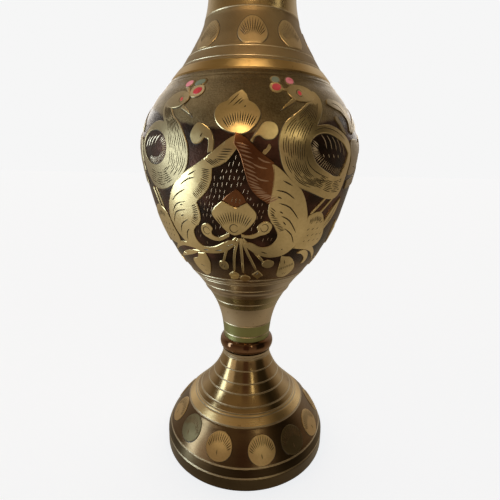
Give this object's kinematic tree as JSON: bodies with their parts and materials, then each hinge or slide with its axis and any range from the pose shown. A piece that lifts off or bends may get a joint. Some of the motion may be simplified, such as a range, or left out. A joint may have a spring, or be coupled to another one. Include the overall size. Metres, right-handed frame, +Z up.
{
  "type": "footed flower vase",
  "caption": "Footed brass flower vase with a bell foot that unscrews below a loose ring, an ovoid engraved belly, a narrow neck and a flared mouth.",
  "frame": {"origin": "centre of the foot's rim, on the table", "axes": "+Z up along the turning axis, -Y towards the engraved front"},
  "size_m": [0.1088, 0.1088, 0.305],
  "materials": {
    "foot_brass": "turned and polished, with old tarnish in the lines",
    "inner_brass": "plain turned",
    "ring_brass": "darkened polished",
    "stem_brass": "turned, with lines and a dull green band",
    "belly_brass": "dark lacquered ground under engraved bright brass",
    "shoulder_brass": "matt punched ground under engraved bright brass",
    "bright_brass": "polished",
    "neck_brass": "polished, with an engraved band",
    "engraved_brass": "bright cut, with chisel strokes",
    "cut_lines": "fresh bright cuts",
    "dark_lacquer": "black and dark red lacquer fill",
    "enamel_red": "red enamel fill",
    "enamel_green": "grey-green enamel fill"
  },
  "bodies": {
    "foot": {"foot_bell": "foot_brass", "foot_bush": "inner_brass"},
    "collar": {"waist_ring": "ring_brass"},
    "vase": {"threaded_stud": "inner_brass", "stem_cup": "stem_brass", "belly_lower": "belly_brass", "belly_upper": "shoulder_brass", "shoulder_ring": "bright_brass", "neck": "neck_brass", "mouth_flare": "neck_brass", "rim_bead": "bright_brass"}
  },
  "joints": [
    {"name": "foot_turn", "type": "hinge", "parent": "foot", "child": "collar", "pos_m": [0, 0, 0.06], "axis": [0, 0, 1], "range_deg": [0, 1800]},
    {"name": "vase_lift", "type": "slide", "parent": "collar", "child": "vase", "axis": [0, 0, 1], "range_m": [0, 0.0125]}
  ],
  "couplings": [
    {"joint": "vase_lift", "follows": "foot_turn", "m_per_rad": 0.00039789}
  ]
}
